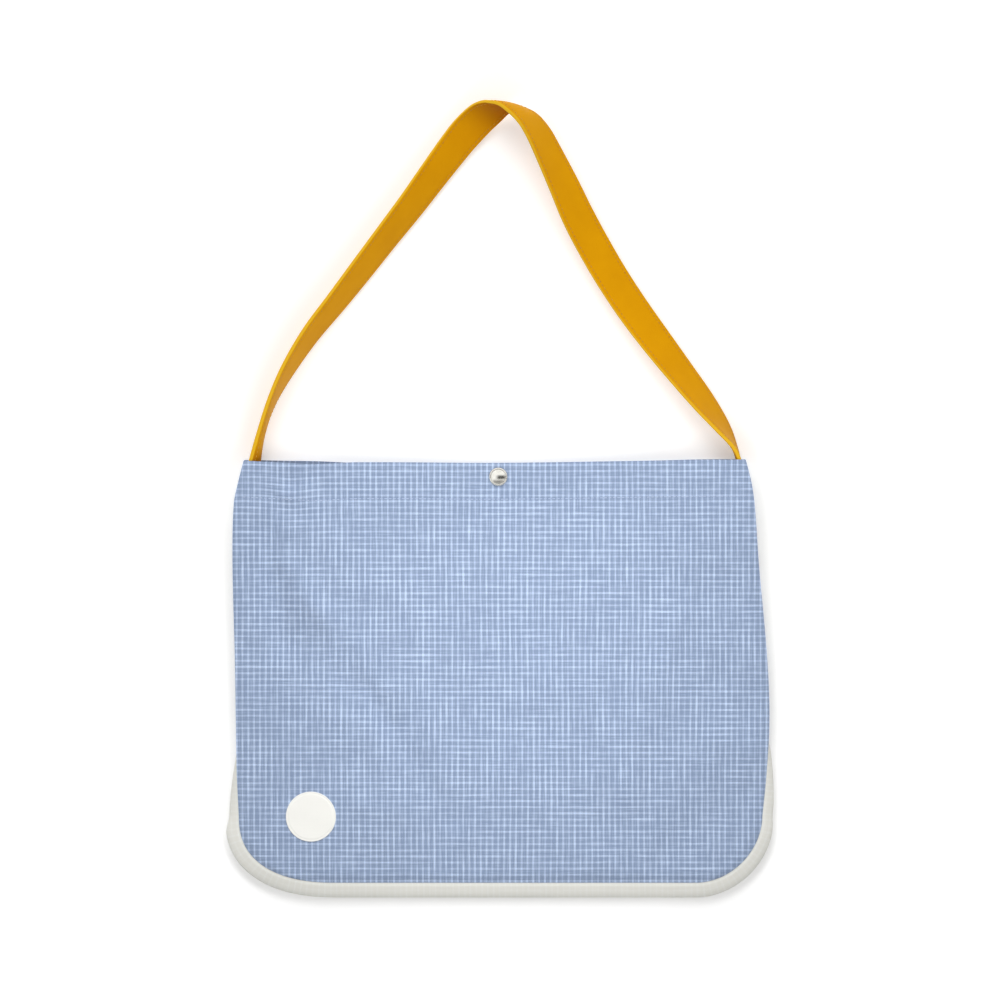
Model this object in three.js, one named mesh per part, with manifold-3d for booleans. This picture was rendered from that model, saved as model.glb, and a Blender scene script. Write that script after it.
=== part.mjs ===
// A slim shoulder bag for 12-inch records, lying on its back with its strap laid out above the mouth.
// Millimetres. X runs to the right, Y from the bag's bottom to its mouth and on to the strap, and Z up
// from the surface that the bag lies on. The walls are cloth shells, hollow inside, and the strap is a
// ribbon of leather that stands on edge at the mouth and turns over in a soft fold at its crest.
import * as THREE from 'three';
import { mergeVertices } from 'three/addons/utils/BufferGeometryUtils.js';
import Module from 'manifold-3d';

// Driving dimensions
const CLOTH = 1.8;          // thickness of a cloth wall
const LEATHER = 3.2;        // thickness of the strap, two layers sewn back to back
const STRAP_WIDTH = 27;
const GAP = 0.3;            // clear space between pieces that lie on each other
const BOTTOM_Y = -292;      // bottom edge of the two panels
const CORNER_HEIGHT = 50;   // how far the rounded bottom corners reach up the sides
const CORNER_Y = BOTTOM_Y + CORNER_HEIGHT;
const PATCH = { x: -144.8, y: -241.7, radius: 19, thickness: 1 };
const SNAP = { x: -2.4, y: 16.5 };
const SNAP_HOLE = 2;        // radius of the holes that the snap's shanks pass through
const CROWN = 5.5;          // how far the middle of the front stands above its rim

// Outline of a panel above the rounded corners: where its sides are at each height.
const SIDES = [
  { y: 30, left: -195, right: 184.5 },
  { y: 12, left: -199.6, right: 189.2 },
  { y: -6, left: -203.2, right: 192 },
  { y: -51, left: -204.3, right: 197.2 },
  { y: -124, left: -202.6, right: 202.8 },
  { y: -170, left: -201.9, right: 204 },
  { y: -210, left: -201.2, right: 201.4 },
  { y: CORNER_Y, left: -199.6, right: 198.2 },
];
// A bottom corner is a quarter of a superellipse: how far it reaches in, and how square it is.
const LEFT_CORNER = { reach: 75, power: 2.4 };
const RIGHT_CORNER = { reach: 50, power: 1.9 };

// Mouth edge of the front and of the back panel. The front dips a little on the left.
const MOUTH = [
  { x: -206, front: 29.4, back: 29.6 },
  { x: -165, front: 27.2, back: 28.8 },
  { x: -140, front: 26.2, back: 28.6 },
  { x: -110, front: 27.6, back: 28 },
  { x: 0, front: 27.2, back: 28 },
  { x: 100, front: 28.6, back: 29.6 },
  { x: 150, front: 29.4, back: 31 },
  { x: 206, front: 29.6, back: 30.4 },
];

// Height of the front panel's rim above the surface, by depth: 0 is the mouth and 1 the bottom.
const RIM = [
  { depth: 0, left: 28.4, right: 32.6 },
  { depth: 0.12, left: 28, right: 32.2 },
  { depth: 0.3, left: 21, right: 22.5 },
  { depth: 0.6, left: 17, right: 17.5 },
  { depth: 1, left: 15, right: 15 },
];
const MOUTH_HEIGHT = 9.7;   // the front's height at the closed snap
const MOUTH_POWER = 1.7;    // how late it rises from the snap to the corners
const MOUTH_REACH = 0.42;   // share of the depth over which the closed mouth opens into the body
const SNAP_SEAT = { flat: 19, out: 50 };
const BACK_SEAT = { rise: 1.3, flat: 28, out: 62 };

// Soft folds of the front: a ridge, or a hollow where rise is negative, along a line.
const FOLDS = [
  { x1: -104, y1: -24, x2: -145, y2: -77, width: 14, rise: 1.7 },
  { x1: -145, y1: -85, x2: -81, y2: -145, width: 14, rise: 1.3 },
  { x1: -182, y1: -24, x2: -168, y2: -108, width: 16, rise: -1.8 },
  { x1: -88, y1: -161, x2: -43, y2: -244, width: 14, rise: -1.2 },
  { x1: -104, y1: -165, x2: -85, y2: -233, width: 13, rise: 1.3 },
  { x1: 117, y1: 15, x2: 126, y2: -138, width: 18, rise: 1.8 },
  { x1: 143, y1: -77, x2: 99, y2: -237, width: 18, rise: -1.6 },
  { x1: -168, y1: 10, x2: -150, y2: 10, width: 15, rise: -2.4 },
  { x1: 185, y1: -221, x2: 117, y2: -276, width: 18, rise: -1.4 },
  { x1: -39, y1: -30, x2: -35, y2: -108, width: 13, rise: 0.9 },
];

// How far the gusset stands out of the rim, or folds in where negative, by depth down a side.
const GUSSET_SIDE = [
  { depth: 0, left: -6, right: -1.5 },
  { depth: 0.12, left: -6, right: -2 },
  { depth: 0.28, left: -11, right: -10 },
  { depth: 0.56, left: -11, right: -10 },
  { depth: 0.68, left: -1, right: 1.5 },
  { depth: 0.8, left: 6.5, right: 7.5 },
  { depth: 0.84, left: 11, right: 8 },
  { depth: 0.88, left: 9.2, right: 9.5 },
  { depth: 1, left: 11.6, right: 11.6 },
];

// The strap's centreline from the left end, inside the bag, over the crest to the right end. z is its
// height, roll turns it about its own length (0 flat with the inner face up, 90 on edge, 180 flat with
// the outer face up), and curl is how far its middle bows out of the line between its edges.
const STRAP = [
  { x: -197.4, y: 1, z: 13.7, roll: 90, curl: 6.6 },
  { x: -194.9, y: 13, z: 13.7, roll: 90, curl: 6.6 },
  { x: -191.3, y: 27, z: 13.7, roll: 89, curl: 6.6 },
  { x: -184.2, y: 48.8, z: 14, roll: 86, curl: 3 },
  { x: -174.3, y: 74.8, z: 14, roll: 80, curl: 0.8 },
  { x: -162, y: 98.8, z: 13.9, roll: 71, curl: 0.5 },
  { x: -145.2, y: 124.8, z: 13.4, roll: 63, curl: 0.4 },
  { x: -125.4, y: 149.8, z: 12.7, roll: 57, curl: 0.4 },
  { x: -106.8, y: 173.8, z: 12.1, roll: 52, curl: 0.4 },
  { x: -87.8, y: 198.6, z: 11.4, roll: 48, curl: 0.4 },
  { x: -69, y: 222.8, z: 10.6, roll: 42, curl: 0.4 },
  { x: -51.3, y: 246.8, z: 9.4, roll: 35, curl: 0.4 },
  { x: -34.6, y: 269, z: 8.2, roll: 26, curl: 0.4 },
  { x: -25, y: 280.4, z: 8.2, roll: 21, curl: 0.5 },
  { x: -14.8, y: 290.2, z: 10.8, roll: 28, curl: 0.7 },
  { x: -5.1, y: 296, z: 15.4, roll: 52, curl: 0.9 },
  { x: 1.5, y: 297.6, z: 19.2, roll: 80, curl: 1 },
  { x: 8.5, y: 295.8, z: 22.2, roll: 103, curl: 1 },
  { x: 15.8, y: 291.4, z: 24, roll: 116, curl: 0.9 },
  { x: 22.4, y: 285.2, z: 24.4, roll: 126, curl: 0.7 },
  { x: 29, y: 275.5, z: 23.6, roll: 133, curl: 0.5 },
  { x: 35.8, y: 262.2, z: 21.4, roll: 138, curl: 0.4 },
  { x: 47, y: 238.8, z: 17.6, roll: 147, curl: 0.4 },
  { x: 58, y: 214.8, z: 13.2, roll: 156, curl: 0.4 },
  { x: 70.2, y: 191.8, z: 9.8, roll: 159, curl: 0.4 },
  { x: 84.4, y: 167.6, z: 8.4, roll: 158, curl: 0.4 },
  { x: 100.4, y: 143.4, z: 8.4, roll: 156, curl: 0.4 },
  { x: 118, y: 119.4, z: 9.2, roll: 150, curl: 0.4 },
  { x: 136.4, y: 95.4, z: 10.6, roll: 140, curl: 0.4 },
  { x: 153.6, y: 73.4, z: 12.4, roll: 129, curl: 0.4 },
  { x: 168.4, y: 53.4, z: 14.6, roll: 112, curl: 0.5 },
  { x: 177.9, y: 37.6, z: 15.6, roll: 94, curl: 1 },
  { x: 182.4, y: 23, z: 15.9, roll: 90, curl: 1.5 },
  { x: 186.2, y: 2, z: 15.9, roll: 90, curl: 1.5 },
];

// Profiles of the snap's turned pieces: radius and height. The cap's and the post's shanks are on the
// axis, and the socket and the stud are rings round them.
const CAP_PROFILE = [
  { r: 0, h: -3 }, { r: 1.6, h: -3 }, { r: 1.6, h: 0 }, { r: 6.9, h: 0 }, { r: 7.1, h: 0.5 },
  { r: 6.7, h: 1.1 }, { r: 6, h: 1.3 }, { r: 5.4, h: 1.1 }, { r: 4.4, h: 1.6 }, { r: 2.4, h: 2.4 },
  { r: 0, h: 2.7 },
];
const SOCKET_PROFILE = [
  { r: 2, h: 0 }, { r: 6, h: 0 }, { r: 6, h: -1.6 }, { r: 5.2, h: -2.4 }, { r: 3.3, h: -2.4 },
  { r: 3.3, h: -0.8 }, { r: 2, h: -0.8 }, { r: 2, h: 0 },
];
const STUD_PROFILE = [
  { r: 2, h: 0 }, { r: 5.4, h: 0 }, { r: 5.4, h: 0.7 }, { r: 3.2, h: 0.9 }, { r: 2.4, h: 1.4 },
  { r: 2.9, h: 2.1 }, { r: 2.6, h: 2.9 }, { r: 2, h: 2.9 }, { r: 2, h: 0 },
];
const POST_PROFILE = [
  { r: 0, h: -0.9 }, { r: 5.2, h: -0.9 }, { r: 5.5, h: -0.6 }, { r: 5.5, h: 0 }, { r: 1.6, h: 0 },
  { r: 1.6, h: 4.4 }, { r: 0, h: 4.4 },
];

// How finely the faceted walls are divided
const FRONT_ROWS = { hem: 7, body: 11, corner: 8 };
const BACK_ROWS = { hem: 4, body: 7, corner: 6 };
const FRONT_COLUMNS = 36;
const BACK_COLUMNS = 20;
const GUSSET_ACROSS = 6;
const STRAP_STEPS = 2;      // slices between two rows of the strap's table
const PATCH_GRID = 10;
// Points across the strap: place from edge to edge, and share of the full thickness there
const STRAP_ACROSS = [
  { at: -1, thick: 0.5 }, { at: -0.94, thick: 1 }, { at: -0.4, thick: 1 }, { at: 0.4, thick: 1 },
  { at: 0.94, thick: 1 }, { at: 1, thick: 0.5 },
];
const ROUND = 24;           // sides of a turned piece
const HEM_DEPTH = 0.13;     // share of the panel's height that the finely divided hem takes
const CORNER_DEPTH = 0.845;

const COLOURS = {
  blue: { color: 0xa6b7d5, roughness: 0.9, metalness: 0 },
  cream: { color: 0xdcdbd3, roughness: 0.9, metalness: 0 },
  leather: { color: 0xc88804, roughness: 0.5, metalness: 0 },
  nickel: { color: 0xc9c9c7, roughness: 0.2, metalness: 1 },
  white: { color: 0xf6f5f0, roughness: 0.85, metalness: 0 },
};

const wasm = await Module();
wasm.setup();

const clamp01 = (t) => Math.min(1, Math.max(0, t));
const smooth = (t) => clamp01(t) ** 2 * (3 - 2 * clamp01(t));
const mix = (a, b, t) => a + (b - a) * t;

// Value of a named column at a place, on a smooth curve through a table's rows.
function along(table, place, column, at) {
  const last = table.length - 1;
  const rising = table[last][place] > table[0][place];
  let k = 0;
  while (k < last - 1 && (rising ? at > table[k + 1][place] : at < table[k + 1][place])) k += 1;
  const slope = (i) => {
    const a = table[Math.max(i - 1, 0)];
    const b = table[Math.min(i + 1, last)];
    return (b[column] - a[column]) / (b[place] - a[place]);
  };
  const width = table[k + 1][place] - table[k][place];
  const t = clamp01((at - table[k][place]) / width);
  const ease = t * t * (3 - 2 * t);
  const start = t * (1 - t) * (1 - t) * width * slope(k);
  const end = t * t * (t - 1) * width * slope(k + 1);
  return mix(table[k][column], table[k + 1][column], ease) + start + end;
}

// Left or right edge of a panel at height y, with its rounded bottom corner.
function side(name, y) {
  const corner = name === 'left' ? LEFT_CORNER : RIGHT_CORNER;
  const inward = name === 'left' ? 1 : -1;
  const down = clamp01((CORNER_Y - y) / CORNER_HEIGHT);
  const round = corner.reach * (1 - (1 - down ** corner.power) ** (1 / corner.power));
  return along(SIDES, 'y', name, Math.max(y, CORNER_Y)) + inward * round;
}

// Height of the front panel's outer face above the surface.
function frontHeight(x, y) {
  const top = along(MOUTH, 'x', 'front', x);
  const depth = clamp01((top - y) / (top - BOTTOM_Y));
  const wide = { left: side('left', Math.max(y, CORNER_Y)), right: side('right', Math.max(y, CORNER_Y)) };
  const across = clamp01((x - wide.left) / (wide.right - wide.left));
  const rim = (name) => along(RIM, 'depth', name, depth);
  const edge = mix(rim('left'), rim('right'), across);
  const crown = CROWN * (1 - Math.abs(2 * across - 1) ** 3) * (1 - depth ** 5);
  const corner = x < SNAP.x ? wide.left : wide.right;
  const fromSnap = clamp01((x - SNAP.x) / (corner - SNAP.x));
  const mouth = mix(MOUTH_HEIGHT, edge, fromSnap ** MOUTH_POWER);
  const body = edge + crown;
  const folds = FOLDS.reduce((sum, fold) => sum + foldRise(fold, x, y), 0);
  const height = mix(mouth, body, smooth(depth / MOUTH_REACH)) + folds;
  const r = Math.hypot(x - SNAP.x, y - SNAP.y);
  return mix(MOUTH_HEIGHT, height, smooth((r - SNAP_SEAT.flat) / (SNAP_SEAT.out - SNAP_SEAT.flat)));
}

// A fold is a rounded ridge along a line, fading past its ends.
function foldRise(fold, x, y) {
  const run = { x: fold.x2 - fold.x1, y: fold.y2 - fold.y1 };
  const t = clamp01(((x - fold.x1) * run.x + (y - fold.y1) * run.y) / (run.x ** 2 + run.y ** 2));
  const away = Math.hypot(x - fold.x1 - t * run.x, y - fold.y1 - t * run.y);
  return fold.rise * Math.exp(-((away / fold.width) ** 2));
}

// Height of the back panel's outer face: flat, but lifted by the snap's back cap near the mouth.
function backHeight(x, y) {
  const r = Math.hypot(x - SNAP.x, y - SNAP.y);
  return BACK_SEAT.rise * (1 - smooth((r - BACK_SEAT.flat) / (BACK_SEAT.out - BACK_SEAT.flat)));
}

// Depth of each row of a panel: hem, body, then rows that follow the round of the corners.
function rowDepths(rows) {
  const depths = [];
  for (let i = 0; i < rows.hem; i += 1) depths.push((HEM_DEPTH * i) / rows.hem);
  for (let i = 0; i < rows.body; i += 1) depths.push(mix(HEM_DEPTH, CORNER_DEPTH, i / rows.body));
  for (let i = 0; i <= rows.corner; i += 1) {
    depths.push(mix(CORNER_DEPTH, 1, Math.sin((Math.PI / 2) * (i / rows.corner))));
  }
  return depths;
}

// Plan position of a panel's point: share down its depth and share across its width.
function panelPoint(mouth, depth, across) {
  const level = mix(along(MOUTH, 'x', mouth, 0), BOTTOM_Y, depth);
  const x = mix(side('left', level), side('right', level), across);
  return { x, y: mix(along(MOUTH, 'x', mouth, x), BOTTOM_Y, depth) };
}

// A closed wall between two grids of points, outer(i, j) and inner(i, j).
function wall(rows, columns, outer, inner) {
  const points = [];
  const faces = [];
  const index = (face, i, j) => (face * (rows + 1) + i) * (columns + 1) + j;
  const quad = (a, b, c, d) => faces.push(a, b, c, a, c, d);
  for (const grid of [outer, inner]) {
    for (let i = 0; i <= rows; i += 1) {
      for (let j = 0; j <= columns; j += 1) points.push(...grid(i, j).toArray());
    }
  }
  for (let i = 0; i < rows; i += 1) {
    for (let j = 0; j < columns; j += 1) {
      quad(index(0, i, j), index(0, i + 1, j), index(0, i + 1, j + 1), index(0, i, j + 1));
      quad(index(1, i, j), index(1, i, j + 1), index(1, i + 1, j + 1), index(1, i + 1, j));
    }
    quad(index(0, i + 1, 0), index(0, i, 0), index(1, i, 0), index(1, i + 1, 0));
    quad(index(0, i, columns), index(0, i + 1, columns), index(1, i + 1, columns), index(1, i, columns));
  }
  for (let j = 0; j < columns; j += 1) {
    quad(index(0, 0, j), index(0, 0, j + 1), index(1, 0, j + 1), index(1, 0, j));
    quad(index(0, rows, j + 1), index(0, rows, j), index(1, rows, j), index(1, rows, j + 1));
  }
  return facingOut(points, faces);
}

// An indexed geometry whose faces point out, turned round if its volume comes out negative.
function facingOut(points, faces) {
  const at = (k) => new THREE.Vector3(points[3 * k], points[3 * k + 1], points[3 * k + 2]);
  let volume = 0;
  for (let k = 0; k < faces.length; k += 3) {
    volume += at(faces[k]).dot(at(faces[k + 1]).cross(at(faces[k + 2])));
  }
  const geometry = new THREE.BufferGeometry();
  geometry.setAttribute('position', new THREE.Float32BufferAttribute(points, 3));
  geometry.setIndex(volume > 0 ? faces : faces.toReversed());
  return geometry;
}

// Cloth panel between a height function and the same, one cloth thickness away.
function panel(mouth, rows, columns, outerHeight, thickness) {
  const depths = rowDepths(rows);
  const face = (offset) => (i, j) => {
    const { x, y } = panelPoint(mouth, depths[i], j / columns);
    return new THREE.Vector3(x, y, outerHeight(x, y) + offset);
  };
  return wall(depths.length - 1, columns, face(0), face(thickness));
}

// The same shape with its shared vertices merged and nothing but positions.
function merged(geometry) {
  const bare = geometry.clone();
  bare.deleteAttribute('normal');
  bare.deleteAttribute('uv');
  const joined = mergeVertices(bare, 1e-4);
  const index = joined.index.array;
  const faces = [];
  for (let k = 0; k < index.length; k += 3) {
    const [a, b, c] = index.slice(k, k + 3);
    if (a !== b && b !== c && a !== c) faces.push(a, b, c);
  }
  return facingOut(Array.from(joined.attributes.position.array), faces);
}

function solid(geometry) {
  const vertProperties = new Float32Array(geometry.attributes.position.array);
  const triVerts = new Uint32Array(geometry.index.array);
  return new wasm.Manifold(new wasm.Mesh({ numProp: 3, vertProperties, triVerts }));
}

// A panel with a round hole cut through it for the snap.
function pierced(geometry) {
  const drill = new THREE.CylinderGeometry(SNAP_HOLE, SNAP_HOLE, 4 * MOUTH_HEIGHT, ROUND);
  drill.rotateX(Math.PI / 2);
  drill.translate(SNAP.x, SNAP.y, 0);
  const cut = solid(geometry).subtract(solid(merged(drill))).getMesh();
  const result = new THREE.BufferGeometry();
  result.setAttribute('position', new THREE.Float32BufferAttribute(cut.vertProperties, 3));
  result.setIndex(Array.from(cut.triVerts));
  return result;
}

// The gusset follows the front panel's rim down the left, along the bottom and up the right. Across,
// it bows out of the rim, or folds into the bag, as half a sine wave from one panel to the other.
function gusset() {
  const depths = rowDepths(FRONT_ROWS);
  const last = depths.length - 1;
  const path = [];
  const station = (name, depth, share) => {
    const bulge = along(GUSSET_SIDE, 'depth', name, depth);
    path.push({ ...panelPoint('front', depth, share), bulge });
  };
  for (let i = 0; i < last; i += 1) station('left', depths[i], 0);
  for (let j = 0; j < FRONT_COLUMNS; j += 1) station('left', 1, j / FRONT_COLUMNS);
  for (let i = last; i >= 0; i -= 1) station('right', depths[i], 1);
  const face = (sign) => (i, j) => {
    const before = path[Math.max(i - 1, 0)];
    const after = path[Math.min(i + 1, path.length - 1)];
    const run = Math.hypot(after.x - before.x, after.y - before.y);
    const out = { x: (after.y - before.y) / run, y: (before.x - after.x) / run };
    const within = frontHeight(path[i].x - 2 * CLOTH * out.x, path[i].y - 2 * CLOTH * out.y);
    const high = Math.min(frontHeight(path[i].x, path[i].y), within) - CLOTH - GAP;
    const low = backHeight(path[i].x, path[i].y) + CLOTH + GAP;
    const v = j / GUSSET_ACROSS;
    const slope = path[i].bulge * Math.PI * Math.cos(Math.PI * v);
    const length = Math.hypot(slope, high - low);
    const half = (sign * CLOTH) / 2;
    const bow = path[i].bulge * Math.sin(Math.PI * v) - CLOTH / 2 + (half * (high - low)) / length;
    const z = mix(high, low, v) + (half * slope) / length;
    const level = Math.min(high, Math.max(low, z));
    return new THREE.Vector3(path[i].x + bow * out.x, path[i].y + bow * out.y, level);
  };
  return wall(path.length - 1, GUSSET_ACROSS, face(1), face(-1));
}

// The strap: a ribbon along the curve through its table, turned by its roll and bowed by its curl.
function strap() {
  const route = new THREE.CatmullRomCurve3(STRAP.map((row) => new THREE.Vector3(row.x, row.y, row.z)));
  const shape = new THREE.CatmullRomCurve3(STRAP.map((row) => new THREE.Vector3(row.roll, row.curl, 0)));
  for (const curve of [route, shape]) curve.curveType = 'catmullrom';
  const slices = (STRAP.length - 1) * STRAP_STEPS;
  const face = (sign) => (i, j) => {
    const t = i / slices;
    const forward = route.getTangent(t);
    const level = new THREE.Vector3(-forward.y, forward.x, 0).normalize();
    const up = forward.clone().cross(level);
    const turn = shape.getPoint(t);
    const roll = THREE.MathUtils.degToRad(turn.x);
    const width = level.multiplyScalar(Math.cos(roll)).addScaledVector(up, Math.sin(roll));
    const inner = forward.clone().cross(width);
    const { at, thick } = STRAP_ACROSS[j];
    const chord = STRAP_WIDTH - (8 * turn.y ** 2) / (3 * STRAP_WIDTH);
    const bow = turn.y * (1 - at ** 2) + (sign * thick * LEATHER) / 2;
    return route.getPoint(t).addScaledVector(width, (at * chord) / 2).addScaledVector(inner, bow);
  };
  return wall(slices, STRAP_ACROSS.length - 1, face(1), face(-1));
}

// The round patch lies on the front panel: a square grid pressed into a disc.
function patch() {
  const face = (offset) => (i, j) => {
    const u = (2 * i) / PATCH_GRID - 1;
    const v = (2 * j) / PATCH_GRID - 1;
    const x = PATCH.x + PATCH.radius * u * Math.sqrt(1 - (v * v) / 2);
    const y = PATCH.y + PATCH.radius * v * Math.sqrt(1 - (u * u) / 2);
    return new THREE.Vector3(x, y, frontHeight(x, y) + offset);
  };
  return wall(PATCH_GRID, PATCH_GRID, face(GAP + PATCH.thickness), face(GAP));
}

// A turned piece of the snap from its profile, standing at height z.
function turned(profile, z) {
  const geometry = new THREE.LatheGeometry(profile.map((p) => new THREE.Vector2(p.r, p.h)), ROUND);
  geometry.rotateX(Math.PI / 2);
  geometry.translate(SNAP.x, SNAP.y, z);
  return merged(geometry);
}

const frontGeometry = panel('front', FRONT_ROWS, FRONT_COLUMNS, frontHeight, -CLOTH);
const backGeometry = panel('back', BACK_ROWS, BACK_COLUMNS, backHeight, CLOTH);
const PIECES = [
  ['front_panel', pierced(frontGeometry), COLOURS.blue],
  ['back_panel', pierced(backGeometry), COLOURS.blue],
  ['gusset', gusset(), COLOURS.cream],
  ['strap', strap(), COLOURS.leather],
  ['patch', patch(), COLOURS.white],
  ['snap_cap', turned(CAP_PROFILE, MOUTH_HEIGHT + GAP), COLOURS.nickel],
  ['snap_socket', turned(SOCKET_PROFILE, MOUTH_HEIGHT - CLOTH - GAP), COLOURS.nickel],
  ['snap_stud', turned(STUD_PROFILE, BACK_SEAT.rise + CLOTH + GAP), COLOURS.nickel],
  ['snap_post', turned(POST_PROFILE, BACK_SEAT.rise - GAP), COLOURS.nickel],
];

const bag = new THREE.Group();
for (const [name, geometry, colour] of PIECES) {
  const mesh = new THREE.Mesh(geometry, new THREE.MeshStandardMaterial(colour));
  mesh.name = name;
  bag.add(mesh);
}

// The origin is the middle of the whole bag's footprint, on the surface that it lies on.
const extent = new THREE.Box3().setFromObject(bag);
const middle = extent.getCenter(new THREE.Vector3());
bag.position.set(-middle.x, -middle.y, -extent.min.z);

export default bag;
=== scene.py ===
"""A slim cloth shoulder bag for 12-inch records, lying on its back with its strap laid out above the mouth.

Sizes and tables are in millimetres. X runs to the right, Y from the bag's bottom to its mouth and on to the
strap, and Z up from the floor. The meshes are written in metres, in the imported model's frame.
"""
import math

import bpy
import numpy as np
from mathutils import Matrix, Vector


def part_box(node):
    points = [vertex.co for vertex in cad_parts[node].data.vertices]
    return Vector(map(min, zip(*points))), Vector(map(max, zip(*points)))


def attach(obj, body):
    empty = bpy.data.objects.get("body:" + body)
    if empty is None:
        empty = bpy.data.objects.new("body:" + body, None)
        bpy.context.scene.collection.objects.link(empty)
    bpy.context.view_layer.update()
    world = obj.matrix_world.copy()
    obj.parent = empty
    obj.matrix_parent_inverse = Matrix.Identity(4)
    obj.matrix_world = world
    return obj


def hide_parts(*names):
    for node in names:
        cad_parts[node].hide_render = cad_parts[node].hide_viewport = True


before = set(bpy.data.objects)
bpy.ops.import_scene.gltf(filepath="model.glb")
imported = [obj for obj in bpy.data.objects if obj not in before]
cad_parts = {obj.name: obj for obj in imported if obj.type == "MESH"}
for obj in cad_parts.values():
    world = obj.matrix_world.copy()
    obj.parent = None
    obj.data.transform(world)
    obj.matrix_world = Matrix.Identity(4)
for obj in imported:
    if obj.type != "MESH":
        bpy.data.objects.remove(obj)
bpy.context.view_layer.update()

# Camera. It hangs far above the bag and looks straight down through a long lens, so the picture is as flat as
# a plan. The bag's tables are measured from the middle of its body, and SHIFT carries them into the frame.
MM = 0.001
SNAP = {"x": -2.4, "y": 16.5}
cap_low, cap_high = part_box("snap_cap")
SHIFT = np.array([
    (cap_low.x + cap_high.x) / 2 / MM - SNAP["x"],
    (cap_low.y + cap_high.y) / 2 / MM - SNAP["y"],
    0.0,
])
PICTURE_WIDTH = 760          # what the picture covers at the height of the bag's front
PICTURE_MIDDLE = -1.14       # the same in X and in Y
FRONT_LEVEL = 15
CAMERA_DISTANCE = 8000
CAMERA_REACH = 100           # metres
SENSOR = 36

camera_data = bpy.data.cameras.new("camera")
camera_data.sensor_width = SENSOR
camera_data.lens = SENSOR * CAMERA_DISTANCE / PICTURE_WIDTH
camera_data.clip_end = CAMERA_REACH
camera = bpy.data.objects.new("camera", camera_data)
camera.location = (
    (PICTURE_MIDDLE + SHIFT[0]) * MM,
    (PICTURE_MIDDLE + SHIFT[1]) * MM,
    (CAMERA_DISTANCE + FRONT_LEVEL) * MM,
)
bpy.context.scene.collection.objects.link(camera)
bpy.context.scene.camera = camera
bpy.context.scene.view_settings.view_transform = "Standard"


# Floor and light. A white light table, brighter away from the bag, shows from above only, so that the bag's
# back can be seen. A soft sky and two lamps light the bag. What shines mirrors no lamp but a brighter sky,
# with the dark of the camera's arm over it, and of the room beyond the bag's bottom.
FLOOR_SIZE = 60000
FLOOR_LEVEL = -0.3
FLOOR_WHITE = (0.8, 0.8, 0.8, 1)
FLOOR_GLOW = {"near": 0.32, "far": 0.60, "within": 0.38, "beyond": 0.62}     # two strengths, and metres
SKY_STRENGTH = 0.45
MIRRORED_SKY = 1.8           # how much brighter the sky is in what shines
ARM = {                      # places in the sky are parts of a direction of length 1
    "y": -0.06, "core": 0.14, "rim": 0.34, "tip": -0.35, "whole": 0.0, "dark": 0.95,
}
ROOM = {"start": -0.3, "whole": -0.6, "dark": 0.75}
OVERHEAD = {"start": 0.35, "whole": 0.6}     # how high in the sky the arm and the room are mirrored
LAMPS = {                    # metres and watts
    "broad_lamp": {"size": 1.9, "place": (-0.3, 2.2, 2.2), "power": 56},
    "near_lamp": {"size": 0.25, "place": (0.02, -0.13, 0.38), "power": 0.77},
}


def add(tree, kind, links=None, **settings):
    """Adds a shader node. Settings are its properties, and links gives each input, by name or number, a value
    or another node's output."""
    made = tree.nodes.new("ShaderNode" + kind)
    for name, value in settings.items():
        setattr(made, name, value)
    for socket, value in (links or {}).items():
        if isinstance(value, bpy.types.NodeSocket):
            tree.links.new(value, made.inputs[socket])
        else:
            made.inputs[socket].default_value = value
    return made


def calc(tree, operation, *values):
    """Output of a Math node that works on the values, which are numbers or outputs."""
    return add(tree, "Math", dict(enumerate(values)), operation=operation).outputs[0]


def eased(tree, value, start, end, first=0.0, last=1.0):
    """Output that goes softly from first to last as the value goes from start to end."""
    return add(tree, "MapRange", {0: value, 1: start, 2: end, 3: first, 4: last},
               interpolation_type="SMOOTHSTEP").outputs[0]


world = bpy.data.worlds.new("soft_sky")
world.use_nodes = True
bpy.context.scene.world = world
sky = world.node_tree
sky.nodes.clear()
direction = add(sky, "SeparateXYZ", {0: add(sky, "TexCoord").outputs["Generated"]})
mirrored = add(sky, "LightPath").outputs["Is Glossy Ray"]
from_arm = calc(sky, "ABSOLUTE", calc(sky, "SUBTRACT", direction.outputs["Y"], ARM["y"]))
arm_sides = eased(sky, from_arm, ARM["core"], ARM["rim"], ARM["dark"], 0.0)
arm_end = eased(sky, direction.outputs["X"], ARM["tip"], ARM["whole"])
room = eased(sky, direction.outputs["Y"], ROOM["start"], ROOM["whole"], 0.0, ROOM["dark"])
well_up = eased(sky, direction.outputs["Z"], OVERHEAD["start"], OVERHEAD["whole"])
dark = calc(sky, "MAXIMUM", calc(sky, "MULTIPLY", arm_sides, arm_end), room)
darkened = calc(sky, "MULTIPLY", calc(sky, "MULTIPLY", dark, well_up), mirrored)
brightness = calc(sky, "MULTIPLY", calc(sky, "SUBTRACT", 1.0, darkened),
                  calc(sky, "MULTIPLY_ADD", mirrored, MIRRORED_SKY, 1.0))
sky_light = add(sky, "Background", {
    "Color": add(sky, "CombineColor", {0: brightness, 1: brightness, 2: brightness}).outputs[0],
    "Strength": SKY_STRENGTH,
})
add(sky, "OutputWorld", {0: sky_light.outputs[0]})

for name, given in LAMPS.items():
    lamp_data = bpy.data.lights.new(name, "AREA")
    lamp_data.size = given["size"]
    lamp_data.energy = given["power"]
    lamp = bpy.data.objects.new(name, lamp_data)
    lamp.location = given["place"]
    lamp.rotation_euler = lamp.location.to_track_quat("Z", "Y").to_euler()
    lamp.visible_camera = False
    lamp.visible_glossy = False
    bpy.context.scene.collection.objects.link(lamp)

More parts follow.
